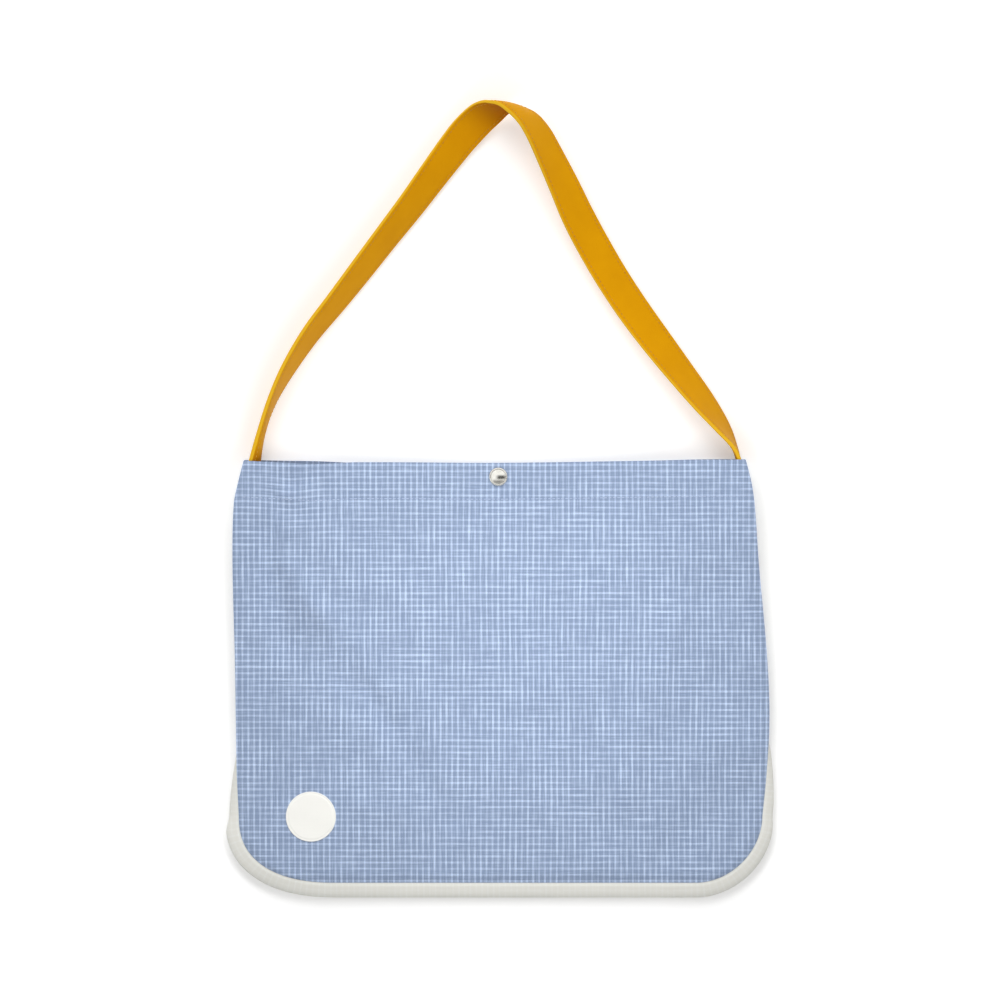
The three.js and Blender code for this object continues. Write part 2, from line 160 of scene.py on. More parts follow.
floor_corner = FLOOR_SIZE * MM / 2
floor_mesh = bpy.data.meshes.new("floor")
floor_mesh.from_pydata(
    [(x * floor_corner, y * floor_corner, FLOOR_LEVEL * MM) for x, y in ((-1, -1), (1, -1), (1, 1), (-1, 1))],
    [], [(0, 1, 2, 3)])
floor = bpy.data.objects.new("floor", floor_mesh)
bpy.context.scene.collection.objects.link(floor)
floor_paint = bpy.data.materials.new("white_floor")
floor_paint.use_nodes = True
paint = floor_paint.node_tree
paint.nodes.clear()
matt = add(paint, "BsdfDiffuse", {"Color": FLOOR_WHITE})
from_middle = add(paint, "VectorMath", {0: add(paint, "TexCoord").outputs["Object"]}, operation="LENGTH")
strength = add(paint, "MapRange", {
    0: from_middle.outputs["Value"], 1: FLOOR_GLOW["within"], 2: FLOOR_GLOW["beyond"],
    3: FLOOR_GLOW["near"], 4: FLOOR_GLOW["far"]})
glow = add(paint, "Emission", {"Strength": strength.outputs[0]})
table = add(paint, "AddShader", {0: matt.outputs[0], 1: glow.outputs[0]})
seen_from_below = add(paint, "NewGeometry").outputs["Backfacing"]
clear = add(paint, "BsdfTransparent")
mixed = add(paint, "MixShader", {0: seen_from_below, 1: table.outputs[0], 2: clear.outputs[0]})
add(paint, "OutputMaterial", {0: mixed.outputs[0]})
floor_mesh.materials.append(floor_paint)


# Back panel. One sheet of blue check cotton with a hem at the mouth, sewn to the gusset all round. It lies
# flat on the floor, apart from the round seat that the snap's back cap lifts.
CLOTH = 1.8
GAP = 0.3                    # clear space between pieces that are sewn or riveted together
BOTTOM = -292
CORNER_HEIGHT = 50
CORNER = BOTTOM + CORNER_HEIGHT
SIDES = {
    "y": (30, 12, -6, -51, -124, -170, -210, CORNER),
    "left": (-195, -199.6, -203.2, -204.3, -202.6, -201.9, -201.2, -199.6),
    "right": (184.5, 189.2, 192, 195.4, 202, 203.6, 201.4, 198.2),
}
CORNERS = {
    "left": {"reach": 75, "power": 2.4, "inward": 1},
    "right": {"reach": 50, "power": 1.9, "inward": -1},
}
MOUTH = {
    "x": (-206, -165, -140, -110, 0, 100, 150, 206),
    "front": (29.4, 27.2, 26.2, 27.6, 27.2, 28.6, 29.4, 29.6),
    "back": (29.6, 28.8, 28.4, 27.2, 26.8, 28.4, 29.8, 30),
}
BACK_SEAT = {"rise": 1.3, "flat": 28, "out": 62}
BACK_GRID = (150, 120)
SIDE_ROWS = 0.72             # share of a panel's rows that go to its straight sides
BEVEL = {"segments": 3, "from_angle": 55}
BACK_EDGE_ROUND = 0.85
BLUE = (0.262, 0.338, 0.496, 1)
PALE_BLUE = (0.63, 0.755, 0.98, 1)
CHECK = (4.42, 4.65)         # from one pale warp stripe to the next, and from one weft stripe to the next
THREAD = 0.52                # from one thread to the next
PULLED = {                   # how the cloth is pulled this way and that
    "x": {"seed": 11, "lengths": (190, 130, 83, 47), "height": 0.2},
    "y": {"seed": 12, "lengths": (210, 140, 79, 43), "height": 0.2},
}
STRIPE_EDGE = (-0.10, 0.12)  # start and end of a stripe's soft edge, in pitches
YARN = {                     # how uneven it is: a factor for a noise of 0 to 1, and what is added
    "half_width": (0.09, 0.095),
    "strength": (1.5, 0.08),
    "streak": (1.2, -0.58),
    "weft_seen": (0.4, 0.24),                # here the factor counts where the weft is on top
    "patchy": (0.85, -0.425),
    "tone": (0.08, 0.96),
}
NOISE = {                    # its scales for each millimetre, and its steps from stripe to stripe
    "along_stripe": 0.022, "along_thread": 0.06, "patches": 0.045, "dye": 0.02,
    "stripes_apart": 17.3, "threads_apart": 0.50,
}
COTTON = {"Roughness": 0.92, "Specular_IOR_Level": 0.15, "Sheen_Weight": 0.06}


def smooth(t):
    """3t^2 - 2t^3, with t kept between 0 and 1."""
    t = np.clip(t, 0, 1)
    return t * t * (3 - 2 * t)


def mix(a, b, t):
    """a + (b - a) t."""
    return a + (b - a) * t


def along(table, place, column, at):
    """Value of a table's column at a place: a cubic through the rows, with each row's slope taken from the
    rows on either side of it, and level past the ends."""
    order = np.argsort(table[place])
    x = np.array(table[place], float)[order]
    v = np.array(table[column], float)[order]
    before = np.maximum(np.arange(len(x)) - 1, 0)
    after = np.minimum(np.arange(len(x)) + 1, len(x) - 1)
    slope = (v[after] - v[before]) / (x[after] - x[before])
    k = np.clip(np.searchsorted(x, at) - 1, 0, len(x) - 2)
    width = x[k + 1] - x[k]
    t = np.clip((at - x[k]) / width, 0, 1)
    bend = t * (1 - t) ** 2 * width * slope[k] + t * t * (t - 1) * width * slope[k + 1]
    return mix(v[k], v[k + 1], smooth(t)) + bend


def side(name, y):
    """X of a panel's left or right edge. Below CORNER a quarter of a superellipse of the corner's power
    brings it in by the corner's reach."""
    corner = CORNERS[name]
    down = np.clip((CORNER - y) / CORNER_HEIGHT, 0, 1)
    brought_in = corner["reach"] * (1 - (1 - down ** corner["power"]) ** (1 / corner["power"]))
    return along(SIDES, "y", name, np.maximum(y, CORNER)) + corner["inward"] * brought_in


def back_height(x, y):
    """Height of the back's lower face: level, but for a round seat under the snap that eases out to it."""
    r = np.hypot(x - SNAP["x"], y - SNAP["y"])
    return BACK_SEAT["rise"] * (1 - smooth((r - BACK_SEAT["flat"]) / (BACK_SEAT["out"] - BACK_SEAT["flat"])))


def panel_point(mouth, depth, across):
    """Plan place at a share of the depth from the mouth to the bottom, and a share of the width there."""
    level = mix(along(MOUTH, "x", mouth, 0), BOTTOM, depth)
    x = mix(side("left", level), side("right", level), across)
    return x, mix(along(MOUTH, "x", mouth, x), BOTTOM, depth)


def panel_depths(rows):
    """Shares of the depth: evenly down the straight sides, then closer together round the bottom corners."""
    straight = (along(MOUTH, "x", "back", 0) - CORNER) / (along(MOUTH, "x", "back", 0) - BOTTOM)
    body = int(rows * SIDE_ROWS)
    turn = np.linspace(0, math.pi / 2, rows - body + 1)
    return np.concatenate([np.linspace(0, straight, body, endpoint=False), mix(straight, 1, np.sin(turn))])


def wall_faces(rows, columns):
    """Quads of a closed wall between two grids of rows x columns points, the outer grid numbered first: both
    grids' own quads, and a strip round the rim from one to the other."""
    number = np.arange(2 * rows * columns).reshape(2, rows, columns)
    outer, inner = number
    o = [outer[:-1, :-1], outer[1:, :-1], outer[1:, 1:], outer[:-1, 1:]]
    n = [inner[:-1, :-1], inner[:-1, 1:], inner[1:, 1:], inner[1:, :-1]]
    strips = [
        [outer[1:, 0], outer[:-1, 0], inner[:-1, 0], inner[1:, 0]],
        [outer[:-1, -1], outer[1:, -1], inner[1:, -1], inner[:-1, -1]],
        [outer[0, :-1], outer[0, 1:], inner[0, 1:], inner[0, :-1]],
        [outer[-1, 1:], outer[-1, :-1], inner[-1, :-1], inner[-1, 1:]],
    ]
    return np.concatenate([np.stack([c.ravel() for c in quad], 1) for quad in [o, n, *strips]])


def piece(name, points, faces, uv, finish):
    """Mesh object of points in millimetres, with its faces turned to point outwards, its own UV map in
    millimetres and one material."""
    volume = 0.0
    for b, c in ((1, 2), (2, 3)):
        p, q, r = points[faces[:, 0]], points[faces[:, b]], points[faces[:, c]]
        volume += np.einsum("ij,ij->", p, np.cross(q, r))
    if volume < 0:
        faces = faces[:, ::-1]
    mesh = bpy.data.meshes.new(name)
    mesh.from_pydata((points + SHIFT) * MM, [], faces.tolist())
    corner = np.empty(len(mesh.loops), np.int32)
    mesh.loops.foreach_get("vertex_index", corner)
    mesh.uv_layers.new(name="surface").uv.foreach_set("vector", uv[corner].astype(np.float32).ravel())
    mesh.shade_smooth()
    mesh.materials.append(finish)
    made = bpy.data.objects.new(name, mesh)
    bpy.context.scene.collection.objects.link(made)
    return made


def round_edges(made, width):
    """Bevel of the sharp edges, as turned cloth or rubbed leather has."""
    bevel = made.modifiers.new("round_edges", "BEVEL")
    bevel.width = width * MM
    bevel.segments = BEVEL["segments"]
    bevel.limit_method = "ANGLE"
    bevel.angle_limit = math.radians(BEVEL["from_angle"])


def waves(x, y, seed, lengths, height):
    """Gentle unevenness: a sum of sine waves, one for each wave length, in directions and phases drawn from
    the seed, with heights in proportion to their lengths."""
    draw = np.random.default_rng(seed)
    total = np.zeros(np.broadcast(x, y).shape)
    for length in lengths:
        turn = draw.uniform(0, 2 * math.pi)
        phase = draw.uniform(0, 2 * math.pi)
        run = x * math.cos(turn) + y * math.sin(turn)
        total = total + length / max(lengths) * np.sin(2 * math.pi * run / length + phase)
    return height * total


def cloth_uv(x, y):
    """Where a point lies on the flat cloth: its plan place, pulled a little this way and that."""
    return np.stack([(x + waves(x, y, **PULLED["x"])).ravel(), (y + waves(x, y, **PULLED["y"])).ravel()], 1)


def group(name, inputs, outputs):
    """Empty shader node group with its sockets, and its two end nodes."""
    made = bpy.data.node_groups.new(name, "ShaderNodeTree")
    for kinds, direction in ((inputs, "INPUT"), (outputs, "OUTPUT")):
        for socket, kind in kinds.items():
            made.interface.new_socket(socket, in_out=direction, socket_type="NodeSocket" + kind)
    return made, made.nodes.new("NodeGroupInput"), made.nodes.new("NodeGroupOutput")


def blend(tree, share, first, second):
    """Colour output: the first colour, and more of the second as the share grows."""
    return add(tree, "Mix", {0: share, 6: first, 7: second}, data_type="RGBA").outputs[2]


def check_group():
    """Yarn-dyed check. Along each way of the cloth a soft stripe of pale threads returns at every pitch, each
    with its own strength and slightly uneven edges. Single threads are a little paler or darker for a
    stretch. Each spot shows its warp or its weft thread, in a plain weave, and in some patches more of the
    one than of the other, so crossings of two stripes are palest. Height is the round of the upper thread."""
    tree, start, end = group(
        "yarn_dyed_check",
        {"Cloth": "Vector", "Warp Pitch": "Float", "Weft Pitch": "Float", "Ground": "Color",
         "Stripe": "Color"},
        {"Color": "Color", "Height": "Float"})
    cloth = add(tree, "SeparateXYZ", {0: start.outputs["Cloth"]})
    patches = add(tree, "TexNoise", {
        "Vector": start.outputs["Cloth"], "Scale": NOISE["patches"], "Detail": 2.0})
    pales = []
    rounds = []
    threads = []
    for place, run, pitch in (("X", "Y", "Warp Pitch"), ("Y", "X", "Weft Pitch")):
        turns = calc(tree, "DIVIDE", cloth.outputs[place], start.outputs[pitch])
        along_stripe = add(tree, "CombineXYZ", {
            0: calc(tree, "MULTIPLY", calc(tree, "FLOOR", turns), NOISE["stripes_apart"]),
            1: calc(tree, "MULTIPLY", cloth.outputs[run], NOISE["along_stripe"])})
        slub = add(tree, "TexNoise", {"Vector": along_stripe.outputs[0], "Scale": 1.0, "Detail": 3.0})
        half_width = calc(tree, "MULTIPLY_ADD", slub.outputs["Fac"], *YARN["half_width"])
        off_centre = calc(tree, "ABSOLUTE", calc(tree, "SUBTRACT", calc(tree, "FRACT", turns), 0.5))
        stripe = eased(tree, calc(tree, "SUBTRACT", off_centre, half_width), *STRIPE_EDGE, 1.0, 0.0)
        strength = calc(tree, "MULTIPLY_ADD", slub.outputs["Fac"], *YARN["strength"])
        thread = calc(tree, "DIVIDE", cloth.outputs[place], THREAD)
        along_thread = add(tree, "CombineXYZ", {
            0: calc(tree, "MULTIPLY", thread, NOISE["threads_apart"]),
            1: calc(tree, "MULTIPLY", cloth.outputs[run], NOISE["along_thread"])})
        streak = add(tree, "TexNoise", {"Vector": along_thread.outputs[0], "Scale": 1.0, "Detail": 2.0})
        streaked = calc(tree, "MULTIPLY_ADD", streak.outputs["Fac"], *YARN["streak"])
        pales.append(calc(tree, "MULTIPLY_ADD", stripe, strength, streaked))
        threads.append(calc(tree, "FLOOR", thread))
        rounds.append(calc(tree, "SINE", calc(tree, "MULTIPLY", calc(tree, "FRACT", thread), math.pi)))
    over = calc(tree, "FLOORED_MODULO", calc(tree, "ADD", *threads), 2.0)
    weft_seen = calc(tree, "ADD", calc(tree, "MULTIPLY_ADD", over, *YARN["weft_seen"]),
                     calc(tree, "MULTIPLY_ADD", patches.outputs["Fac"], *YARN["patchy"]))
    pale = add(tree, "Mix", {0: weft_seen, 2: pales[0], 3: pales[1]}, data_type="FLOAT").outputs[0]
    shade = blend(tree, pale, start.outputs["Ground"], start.outputs["Stripe"])
    dye = add(tree, "TexNoise", {"Vector": start.outputs["Cloth"], "Scale": NOISE["dye"], "Detail": 6.0})
    tone = calc(tree, "MULTIPLY_ADD", dye.outputs["Fac"], *YARN["tone"])
    tinted = add(tree, "VectorMath", {0: shade, "Scale": tone}, operation="SCALE").outputs[0]
    tree.links.new(tinted, end.inputs["Color"])
    top = add(tree, "Mix", {0: over, 2: rounds[0], 3: rounds[1]}, data_type="FLOAT").outputs[0]
    tree.links.new(top, end.inputs["Height"])
    return tree


CHECK_GROUP = check_group()


def shader(name, **uniform):
    """New material: its node tree, and its Principled BSDF with the values that are the same all over."""
    made = bpy.data.materials.new(name)
    made.use_nodes = True
    tree = made.node_tree
    tree.nodes.clear()
    surface = add(tree, "BsdfPrincipled", {k.replace("_", " "): v for k, v in uniform.items()})
    add(tree, "OutputMaterial", {0: surface.outputs[0]})
    return made, tree, surface


def bump(tree, surface, height, distance, strength=1.0):
    """Feeds the surface's Normal from a height that counts distance millimetres for each unit."""
    made = add(tree, "Bump", {"Height": height, "Distance": distance * MM, "Strength": strength})
    tree.links.new(made.outputs[0], surface.inputs["Normal"])


def check_cloth(name, ground, stripe, pitches=CHECK, threads=(0.12, 0.8), finish=COTTON):
    """Cloth in a yarn-dyed check of two colours, on the piece's own UV map. Threads gives the height of their
    round and how strongly it shows."""
    made, tree, surface = shader(name, **finish)
    weave = add(tree, "Group", {
        "Cloth": add(tree, "UVMap", uv_map="surface").outputs[0], "Warp Pitch": pitches[0],
        "Weft Pitch": pitches[1], "Ground": ground, "Stripe": stripe}, node_tree=CHECK_GROUP)
    tree.links.new(weave.outputs["Color"], surface.inputs["Base Color"])
    bump(tree, surface, weave.outputs["Height"], *threads)
    return made


blue_check = check_cloth("blue_check_cotton", BLUE, PALE_BLUE)

depth, across = np.meshgrid(panel_depths(BACK_GRID[0]), np.linspace(0, 1, BACK_GRID[1] + 1), indexing="ij")
x, y = panel_point("back", depth, across)
lower = back_height(x, y)
points = np.concatenate([np.stack([x, y, z], 2).reshape(-1, 3) for z in (lower, lower + CLOTH)])
uv = np.tile(cloth_uv(x, y), (2, 1))
back_panel = piece("back_cloth", points, wall_faces(*x.shape), uv, blue_check)
round_edges(back_panel, BACK_EDGE_ROUND)
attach(back_panel, "root")
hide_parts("back_panel")


# Front panel. The same cloth, crowned over the empty pocket, pulled down to the back at the closed snap and
# standing open towards both ends of the mouth. Its hem is turned in and sewn down with one row of thread.
CROWN = {"height": 5.5, "across": 3, "down": 5}      # with the powers by which it falls to the rim
RIM = {
    "depth": (0, 0.12, 0.3, 0.6, 1),
    "left": (28.4, 28, 21, 17, 15),
    "right": (32.6, 32.2, 22.5, 17.5, 15),
}
MOUTH_HEIGHT = 9.7
MOUTH_POWER = 1.7
MOUTH_REACH = 0.42
SNAP_SEAT = {"flat": 19, "out": 50}
FOLDS = [
    {"from": (-104, -24), "to": (-145, -77), "width": 14, "rise": 1.7},
    {"from": (-145, -85), "to": (-81, -145), "width": 14, "rise": 1.3},
    {"from": (-182, -24), "to": (-168, -108), "width": 16, "rise": -1.8},
    {"from": (-88, -161), "to": (-43, -244), "width": 14, "rise": -1.2},
    {"from": (-104, -165), "to": (-85, -233), "width": 13, "rise": 1.3},
    {"from": (117, 15), "to": (126, -138), "width": 18, "rise": 1.8},
    {"from": (143, -77), "to": (99, -237), "width": 18, "rise": -1.6},
    {"from": (-168, 10), "to": (-150, 10), "width": 15, "rise": -2.4},
    {"from": (185, -221), "to": (117, -276), "width": 18, "rise": -1.4},
    {"from": (-39, -30), "to": (-35, -108), "width": 13, "rise": 0.9},
]
FINE_FOLDS = [
    {"from": (-174, 9), "to": (-162, 2), "width": 5, "rise": 1.6},
    {"from": (-162, 2), "to": (-149, 6), "width": 5, "rise": 1.6},
    {"from": (-172, -9), "to": (-150, -12), "width": 8, "rise": -1.6},
    {"from": (-163, 18), "to": (-160, 8), "width": 4, "rise": -0.7},
    {"from": (128, 26), "to": (124, -2), "width": 5, "rise": 0.7},
    {"from": (96, 24), "to": (99, -10), "width": 6, "rise": -0.6},
    {"from": (-60, 24), "to": (-66, -20), "width": 7, "rise": 0.6},
    {"from": (-164, -50), "to": (-136, -88), "width": 9, "rise": 2.2},
    {"from": (-136, -88), "to": (-92, -146), "width": 9, "rise": 1.4},
    {"from": (-123, -104), "to": (-85, -172), "width": 7, "rise": -1.1},
    {"from": (-85, -172), "to": (-35, -244), "width": 8, "rise": -1.0},
    {"from": (-42, -16), "to": (-41, -107), "width": 4.5, "rise": 0.7},
    {"from": (-30, -16), "to": (-33, -107), "width": 5, "rise": -0.6},
    {"from": (-178, -26), "to": (-164, -108), "width": 10, "rise": -2.2},
    {"from": (136, 14), "to": (140, -88), "width": 13, "rise": 1.3},
    {"from": (140, -88), "to": (109, -176), "width": 15, "rise": 1.3},
    {"from": (109, -176), "to": (94, -222), "width": 14, "rise": 1},
    {"from": (-125, -148), "to": (-108, -232), "width": 8, "rise": 1.2},
    {"from": (2, -110), "to": (-10, -200), "width": 9, "rise": -0.6},
    {"from": (40, -60), "to": (30, -150), "width": 10, "rise": 0.6},
    {"from": (60, 10), "to": (56, -50), "width": 7, "rise": 0.5},
]
SLACK = {"seed": 21, "lengths": (83, 61, 47, 33, 27, 19), "height": 0.3}
RELIEF_FADE = 14             # from the rim, where creases and waves fade out
RELIEF_CLEAR = {"from": 9, "over": 12}       # round the snap, the same
PRESSED = {"depth": 1.4, "width": 3.8}       # along the seams
DIMPLE = {"x": -160, "y": 3, "wide": 17, "high": 24, "pull": 2.0}
HEM_WIDTH = 29.5
HEM_STEP = {"height": 0.12, "inset": 1, "width": 1.6}        # the edge of the hem's doubled cloth
HEM_SEWN = 1.8               # from the hem's edge to its thread
HEM_ROW = {"short": 4, "samples": 900}       # how far it stops short of the sides
GROOVE = {"depth": 0.40, "width": 1.2}
PUCKER = {"height": 0.12, "pitch": 9.3, "width": 6}
STITCH = {"length": 2.6, "pitch": 3.3, "radius": 0.3, "tip": 0.35, "sunk": 0.45, "sides": 6, "rings": 6}
TWIST = {"scale": 900.0, "height": 0.05}     # of all sewing thread
HEM_THREAD = {"dark": (0.39, 0.47, 0.64, 1), "pale": (0.54, 0.64, 0.83, 1), "roughness": 0.7}
FRONT_GRID = (190, 190)
FRONT_EDGE_ROUND = 0.2125


def fold_rise(folds, x, y):
    """Sum of rounded ridges, and hollows where rise is negative: rise times exp(-(distance/width)^2), with
    the distance measured to the fold's line."""
    total = np.zeros(np.broadcast(x, y).shape)
    for fold in folds:
        (x1, y1), (x2, y2) = fold["from"], fold["to"]
        t = np.clip(((x - x1) * (x2 - x1) + (y - y1) * (y2 - y1)) / ((x2 - x1) ** 2 + (y2 - y1) ** 2), 0, 1)
        away = np.hypot(x - x1 - t * (x2 - x1), y - y1 - t * (y2 - y1))
        total = total + fold["rise"] * np.exp(-((away / fold["width"]) ** 2))
    return total


def front_height(x, y):
    """Height of the front's outer face. At the mouth it climbs from the snap to both corners. Below, over
    MOUTH_REACH of the depth, it eases into the rim's height plus a crown, and the folds are added. Round the
    snap it is level."""
    top = along(MOUTH, "x", "front", x)
    depth = np.clip((top - y) / (top - BOTTOM), 0, 1)
    left, right = (side(name, np.maximum(y, CORNER)) for name in ("left", "right"))
    across = np.clip((x - left) / (right - left), 0, 1)
    edge = mix(along(RIM, "depth", "left", depth), along(RIM, "depth", "right", depth), across)
    crown = CROWN["height"] * (1 - np.abs(2 * across - 1) ** CROWN["across"]) * (1 - depth ** CROWN["down"])
    corner = np.where(x < SNAP["x"], left, right)
    from_snap = np.clip((x - SNAP["x"]) / (corner - SNAP["x"]), 0, 1)
    mouth = mix(MOUTH_HEIGHT, edge, from_snap ** MOUTH_POWER)
    height = mix(mouth, edge + crown, smooth(depth / MOUTH_REACH)) + fold_rise(FOLDS, x, y)
    r = np.hypot(x - SNAP["x"], y - SNAP["y"])
    return mix(MOUTH_HEIGHT, height, smooth((r - SNAP_SEAT["flat"]) / (SNAP_SEAT["out"] - SNAP_SEAT["flat"])))


def from_seams(x, y):
    """Distance to the nearest of the panel's two sides and its bottom."""
    return np.minimum(np.minimum(x - side("left", y), side("right", y) - x), y - BOTTOM)


def clear_of_snap(x, y):
    """0 near the snap, easing to 1 further out."""
    r = np.hypot(x - SNAP["x"], y - SNAP["y"])
    return smooth((r - RELIEF_CLEAR["from"]) / RELIEF_CLEAR["over"])


def front_relief(x, y):
    """What the cloth's own slackness adds to the front's height: small creases, puckers along the hem's
    thread, and slight waves, which all fade out towards the rim and round the snap."""
    below_mouth = along(MOUTH, "x", "front", x) - y
    inside = np.minimum(from_seams(x, y), below_mouth)
    near_hem = np.exp(-(((below_mouth - HEM_WIDTH) / PUCKER["width"]) ** 2))
    pucker = PUCKER["height"] * np.sin(2 * math.pi * x / PUCKER["pitch"]) * near_hem
    relief = fold_rise(FINE_FOLDS, x, y) + waves(x, y, **SLACK) + pucker
    return relief * smooth(inside / RELIEF_FADE) * clear_of_snap(x, y)


def front_cloth(x, y):
    """Height of the front's outer face with all its relief: the hem's doubled band, the thread's groove along
    it, and the edge pressed down along the seams."""
    past_hem = along(MOUTH, "x", "front", x) - y - HEM_WIDTH
    single = smooth((past_hem + HEM_STEP["inset"]) / HEM_STEP["width"])
    hem = HEM_STEP["height"] * (1 - single) * clear_of_snap(x, y)
    groove = GROOVE["depth"] * np.exp(-(((past_hem + HEM_SEWN) / GROOVE["width"]) ** 2))
    pressed = PRESSED["depth"] * np.exp(-((np.maximum(from_seams(x, y), 0) / PRESSED["width"]) ** 2))
    return front_height(x, y) + front_relief(x, y) + hem - groove - pressed


def stitch_run(points, normals):
    """Row of stitches: along the path, one stitch at each pitch. Each is a thread of six sides whose middle
    line rises over the surface as half a sine wave and whose ends are thin and sunk."""
    step = np.linalg.norm(np.diff(points, axis=0), axis=1)
    run = np.concatenate([[0], np.cumsum(step)])
    first = np.arange(STITCH["pitch"] / 2, run[-1] - STITCH["pitch"], STITCH["pitch"])
    share = np.linspace(0, 1, STITCH["rings"])
    at = first[:, None] + STITCH["length"] * share[None, :]
    middle = np.stack([np.interp(at, run, points[:, k]) for k in range(3)], 2)
    up = np.stack([np.interp(at, run, normals[:, k]) for k in range(3)], 2)
    forward = middle[:, -1:] - middle[:, :1]
    forward = forward / np.linalg.norm(forward, axis=2, keepdims=True)
    out = np.cross(forward, up)
    swell = np.sin(math.pi * share)[None, :, None]
    radius = STITCH["radius"] * mix(STITCH["tip"], 1, np.sqrt(swell))
    middle = middle + up * (swell - STITCH["sunk"]) * STITCH["radius"]
    turn = np.linspace(0, 2 * math.pi, STITCH["sides"], endpoint=False)
    ring = np.cos(turn)[:, None] * out[:, :, None, :] + np.sin(turn)[:, None] * up[:, :, None, :]
    grid = middle[:, :, None, :] + radius[:, :, :, None] * ring
    number = np.arange(grid[..., 0].size).reshape(grid.shape[:3])
    right = np.roll(number, -1, 2)
    body = np.stack([number[:, :-1], right[:, :-1], right[:, 1:], number[:, 1:]], 3).reshape(-1, 4)
    ends = [np.stack([e[:, a], e[:, b], e[:, c], e[:, d]], 1) for e in (number[:, 0], number[:, -1][:, ::-1])
            for a, b, c, d in ((3, 2, 1, 0), (5, 4, 3, 0))]
    return grid.reshape(-1, 3), np.concatenate([body, *ends])


def stitches(name, rows, finish):
    """One piece of several rows of stitches."""
    points, faces, total = [], [], 0
    for row_points, row_normals in rows:
        made, quads = stitch_run(row_points, row_normals)
        points.append(made)
        faces.append(quads + total)
        total += len(made)
    points = np.concatenate(points)
    return piece(name, points, np.concatenate(faces), points[:, :2], finish)


def sewing_thread(name, dark, pale, roughness):
    """Twisted thread in two tones of a colour."""
    made, tree, surface = shader(name, Roughness=roughness, Sheen_Weight=0.2)
    place = add(tree, "TexCoord").outputs["Object"]
    twist = add(tree, "TexNoise", {"Vector": place, "Scale": TWIST["scale"]}).outputs["Fac"]
    tree.links.new(blend(tree, twist, dark, pale), surface.inputs["Base Color"])
    bump(tree, surface, twist, TWIST["height"])
    return made


depth, across = np.meshgrid(panel_depths(FRONT_GRID[0]), np.linspace(0, 1, FRONT_GRID[1] + 1), indexing="ij")
x, y = panel_point("front", depth, across)
upper = front_cloth(x, y)
lower = front_height(x, y) + front_relief(x, y) - CLOTH
points = np.concatenate([np.stack([x, y, z], 2).reshape(-1, 3) for z in (upper, lower)])
from_dimple = ((x - DIMPLE["x"]) / DIMPLE["wide"]) ** 2 + ((y - DIMPLE["y"]) / DIMPLE["high"]) ** 2
uv = np.tile(cloth_uv(x, y + DIMPLE["pull"] * np.exp(-from_dimple)), (2, 1))
front_panel = piece("front_cloth", points, wall_faces(*x.shape), uv, blue_check)
round_edges(front_panel, FRONT_EDGE_ROUND)
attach(front_panel, "root")
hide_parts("front_panel")

hem_ends = side("left", 0) + HEM_ROW["short"], side("right", 0) - HEM_ROW["short"]
hem_x = np.linspace(*hem_ends, HEM_ROW["samples"])
front_y, back_y = (along(MOUTH, "x", wall, hem_x) - HEM_WIDTH + HEM_SEWN for wall in ("front", "back"))
front_row = np.stack([hem_x, front_y, front_cloth(hem_x, front_y)], 1)
back_row = np.stack([hem_x, back_y, back_height(hem_x, back_y) + CLOTH], 1)
straight_up = np.tile([0.0, 0.0, 1.0], (len(hem_x), 1))
hem_thread = stitches("hem_stitches", [(front_row, straight_up), (back_row, straight_up)],
                      sewing_thread("pale_blue_thread", **HEM_THREAD))
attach(hem_thread, "root")


# Gusset. One long strip of cream check cotton between the two panels, down one side, round the bottom and up
# the other. The empty bag lets it fold in at the sides and roll out round the bottom.
GUSSET_SIDE = {
    "depth": (0, 0.12, 0.28, 0.56, 0.68, 0.8, 0.85, 0.88, 1),
    "left": (-6, -6, -11, -11, -1, 6, 8, 10.8, 11.6),
    "right": (-1.5, -2, -10, -10, 1.5, 7.5, 8.2, 9.5, 11.6),
}
GUSSET_STATIONS = {"side": 260, "bottom": 330}
GUSSET_ACROSS = 24
GUSSET_EDGE_ROUND = 0.5
SEAM = 0.05                  # between the strip's edges and the panels, pressed together by the seam
CREAM = (0.86, 0.855, 0.795, 1)
PALE_CREAM = (0.90, 0.90, 0.855, 1)


def gusset_path():
    """Stations along the front's rim, down the left, along the bottom and up the right, each with its plan
    place and how far the gusset bulges there."""
    depths = panel_depths(GUSSET_STATIONS["side"])
    to_the_right = np.linspace(0, 1, GUSSET_STATIONS["bottom"], endpoint=False)
    legs = []
    for name, down, share in (
        ("left", depths[:-1], np.zeros(len(depths) - 1)),
        ("left", np.ones(len(to_the_right)), to_the_right),
        ("right", depths[::-1], np.ones(len(depths))),
    ):
        px, py = panel_point("front", down, share)
        legs.append(np.stack([px, py, along(GUSSET_SIDE, "depth", name, down)], 1))
    return np.concatenate(legs)


